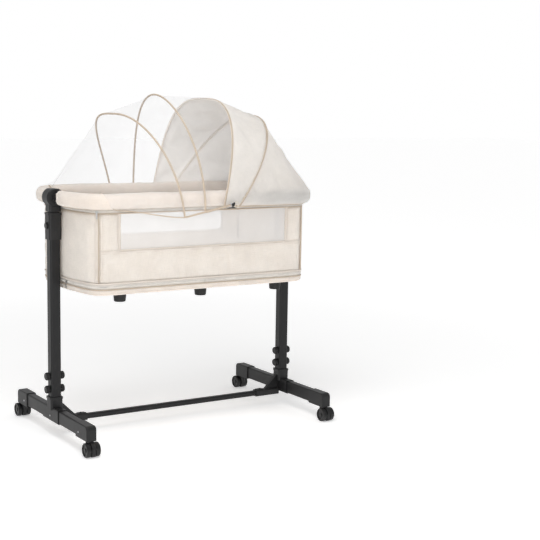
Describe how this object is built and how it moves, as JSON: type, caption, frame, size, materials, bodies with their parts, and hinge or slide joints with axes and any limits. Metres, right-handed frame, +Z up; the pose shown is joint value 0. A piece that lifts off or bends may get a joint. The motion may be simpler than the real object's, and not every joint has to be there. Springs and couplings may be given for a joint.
{
  "type": "bassinet on stand",
  "caption": "Fabric bassinet with mesh windows and a fold-back bow canopy, carried by a height-adjustable two-post stand on twin-wheel casters.",
  "frame": {"origin": "on the floor, midway between the two posts", "axes": "+X along the length to the hood end, +Y to the rear, +Z up"},
  "size_m": [0.954, 0.6298, 1.1211],
  "materials": {
    "frame_black": "satin",
    "plastic_black": "matte",
    "caster_rubber": "satin",
    "foot_rubber": "matte",
    "steel": "brushed",
    "linen_beige": "woven",
    "piping_tan": "woven",
    "mesh_white": "net",
    "zipper_grey": "woven",
    "zipper_metal": "satin",
    "board_wood": "raw",
    "mattress_fabric": "woven"
  },
  "bodies": {
    "stand": {"beam_screws": "steel", "crossbar": "frame_black", "left_foot_beam": "frame_black", "left_hub": "plastic_black", "left_outer_post": "frame_black", "left_collar": "plastic_black", "front_left_foot_cap": "plastic_black", "rear_left_foot_cap": "plastic_black", "left_button_spring": "steel", "right_foot_beam": "frame_black", "right_hub": "plastic_black", "right_outer_post": "frame_black", "right_collar": "plastic_black", "front_right_foot_cap": "plastic_black", "rear_right_foot_cap": "plastic_black", "right_button_spring": "steel"},
    "left_lower_knob": {"left_lower_knob": "plastic_black"},
    "left_upper_knob": {"left_upper_knob": "plastic_black"},
    "left_crossbar_button": {"left_crossbar_button": "plastic_black"},
    "left_height_button": {"left_height_button": "plastic_black"},
    "front_left_caster_fork": {"front_left_caster_fork": "plastic_black"},
    "front_left_caster_wheels": {"front_left_caster_wheels": "caster_rubber"},
    "rear_left_caster_fork": {"rear_left_caster_fork": "plastic_black"},
    "rear_left_caster_wheels": {"rear_left_caster_wheels": "caster_rubber"},
    "bassinet": {"left_inner_post": "frame_black", "left_head": "plastic_black", "right_inner_post": "frame_black", "right_head": "plastic_black", "rim_rail": "steel", "rim_sleeve": "linen_beige", "rim_zipper_band": "zipper_grey", "front_wall": "linen_beige", "rear_wall": "linen_beige", "left_end_wall": "linen_beige", "right_end_wall": "linen_beige", "window_nets": "mesh_white", "bottom_zipper_band": "zipper_grey", "bottom_tray": "linen_beige", "base_board": "board_wood", "mattress": "mattress_fabric", "tub_feet": "foot_rubber", "zipper_pulls": "zipper_metal", "canopy_hinges": "plastic_black", "canopy_bow_4": "piping_tan", "rear_hood": "linen_beige"},
    "right_lower_knob": {"right_lower_knob": "plastic_black"},
    "right_upper_knob": {"right_upper_knob": "plastic_black"},
    "right_crossbar_button": {"right_crossbar_button": "plastic_black"},
    "right_height_button": {"right_height_button": "plastic_black"},
    "front_right_caster_fork": {"front_right_caster_fork": "plastic_black"},
    "front_right_caster_wheels": {"front_right_caster_wheels": "caster_rubber"},
    "rear_right_caster_fork": {"rear_right_caster_fork": "plastic_black"},
    "rear_right_caster_wheels": {"rear_right_caster_wheels": "caster_rubber"},
    "canopy_bow_3": {"canopy_bow_3": "piping_tan", "hood_panel": "linen_beige"},
    "canopy_bow_2": {"canopy_bow_2": "piping_tan", "middle_net": "mesh_white"},
    "canopy_bow_1": {"canopy_bow_1": "piping_tan", "front_net": "mesh_white", "end_net": "mesh_white"}
  },
  "joints": [
    {"name": "left_lower_knob_turn", "type": "hinge", "parent": "stand", "child": "left_lower_knob", "pos_m": [-0.445, 0, 0.156], "axis": [1, 0, 0], "continuous": true},
    {"name": "left_upper_knob_turn", "type": "hinge", "parent": "stand", "child": "left_upper_knob", "pos_m": [-0.445, 0, 0.2], "axis": [1, 0, 0], "continuous": true},
    {"name": "left_crossbar_button_press", "type": "slide", "parent": "stand", "child": "left_crossbar_button", "axis": [0, 0, -1], "range_m": [0, 0.003], "stiffness_N_per_m": 800, "springref_m": -0.001},
    {"name": "left_height_button_press", "type": "slide", "parent": "stand", "child": "left_height_button", "axis": [1, 0, 0], "range_m": [0, 0.0032], "stiffness_N_per_m": 900, "springref_m": -0.002, "deforming": ["left_button_spring"]},
    {"name": "front_left_caster_swivel", "type": "hinge", "parent": "stand", "child": "front_left_caster_fork", "pos_m": [-0.445, -0.268, 0.05], "axis": [0, 0, 1], "continuous": true},
    {"name": "front_left_wheel_roll", "type": "hinge", "parent": "front_left_caster_fork", "child": "front_left_caster_wheels", "pos_m": [-0.445, -0.29, 0.023], "axis": [1, 0, 0], "continuous": true},
    {"name": "rear_left_caster_swivel", "type": "hinge", "parent": "stand", "child": "rear_left_caster_fork", "pos_m": [-0.445, 0.268, 0.05], "axis": [0, 0, 1], "continuous": true},
    {"name": "rear_left_wheel_roll", "type": "hinge", "parent": "rear_left_caster_fork", "child": "rear_left_caster_wheels", "pos_m": [-0.445, 0.29, 0.023], "axis": [1, 0, 0], "continuous": true},
    {"name": "right_lower_knob_turn", "type": "hinge", "parent": "stand", "child": "right_lower_knob", "pos_m": [0.445, 0, 0.156], "axis": [1, 0, 0], "continuous": true},
    {"name": "right_upper_knob_turn", "type": "hinge", "parent": "stand", "child": "right_upper_knob", "pos_m": [0.445, 0, 0.2], "axis": [1, 0, 0], "continuous": true},
    {"name": "right_crossbar_button_press", "type": "slide", "parent": "stand", "child": "right_crossbar_button", "axis": [0, 0, -1], "range_m": [0, 0.003], "stiffness_N_per_m": 800, "springref_m": -0.001},
    {"name": "right_height_button_press", "type": "slide", "parent": "stand", "child": "right_height_button", "axis": [-1, 0, 0], "range_m": [0, 0.0032], "stiffness_N_per_m": 900, "springref_m": -0.002, "deforming": ["right_button_spring"]},
    {"name": "front_right_caster_swivel", "type": "hinge", "parent": "stand", "child": "front_right_caster_fork", "pos_m": [0.445, -0.268, 0.05], "axis": [0, 0, 1], "continuous": true},
    {"name": "front_right_wheel_roll", "type": "hinge", "parent": "front_right_caster_fork", "child": "front_right_caster_wheels", "pos_m": [0.445, -0.29, 0.023], "axis": [1, 0, 0], "continuous": true},
    {"name": "rear_right_caster_swivel", "type": "hinge", "parent": "stand", "child": "rear_right_caster_fork", "pos_m": [0.445, 0.268, 0.05], "axis": [0, 0, 1], "continuous": true},
    {"name": "rear_right_wheel_roll", "type": "hinge", "parent": "rear_right_caster_fork", "child": "rear_right_caster_wheels", "pos_m": [0.445, 0.29, 0.023], "axis": [1, 0, 0], "continuous": true},
    {"name": "height_slide", "type": "slide", "parent": "stand", "child": "bassinet", "axis": [0, 0, 1], "range_m": [0, 0.15]},
    {"name": "canopy_fold", "type": "hinge", "parent": "bassinet", "child": "canopy_bow_3", "pos_m": [0.07, 0, 0.768], "axis": [0, 1, 0], "range_deg": [0, 22], "deforming": ["hood_panel", "middle_net", "front_net", "end_net"]},
    {"name": "canopy_fold_middle", "type": "hinge", "parent": "canopy_bow_3", "child": "canopy_bow_2", "pos_m": [0.07, 0, 0.768], "axis": [0, 1, 0], "range_deg": [0, 20.01]},
    {"name": "canopy_fold_front", "type": "hinge", "parent": "canopy_bow_2", "child": "canopy_bow_1", "pos_m": [0.07, 0, 0.768], "axis": [0, 1, 0], "range_deg": [0, 14.01]}
  ],
  "couplings": [
    {"joint": "canopy_fold_middle", "follows": "canopy_fold", "ratio": 0.90909},
    {"joint": "canopy_fold_front", "follows": "canopy_fold", "ratio": 0.63636}
  ]
}
